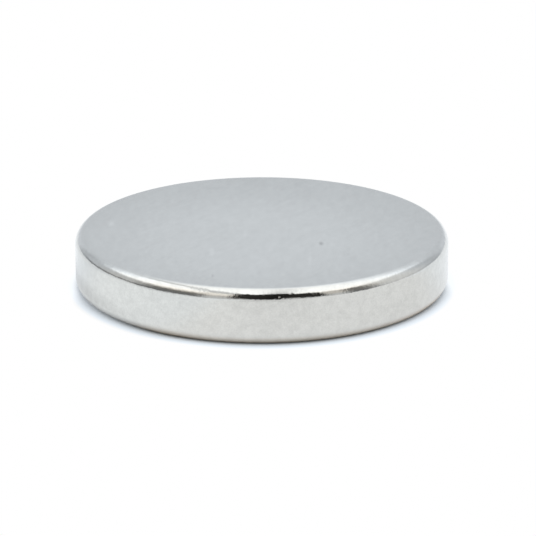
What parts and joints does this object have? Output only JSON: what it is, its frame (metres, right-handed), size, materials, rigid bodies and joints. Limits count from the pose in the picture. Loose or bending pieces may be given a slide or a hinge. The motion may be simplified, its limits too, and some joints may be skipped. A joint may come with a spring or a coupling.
{
  "type": "disc magnet",
  "caption": "Flat round disc magnet of sintered rare-earth alloy, with rounded edges and a bright nickel plating, magnetised through its thickness.",
  "frame": {"origin": "centre of the lower pole face, which the disc lies on", "axes": "+Z along the disc's axis, which is also its magnetic axis, from the lower pole face to the upper one; X and Y are any two directions across it"},
  "size_m": [0.02, 0.02, 0.003],
  "materials": {
    "nickel_plate": "bright nickel plating with a fine satin grain on the side"
  },
  "bodies": {
    "root": {"disc_magnet": "nickel_plate"}
  },
  "joints": []
}
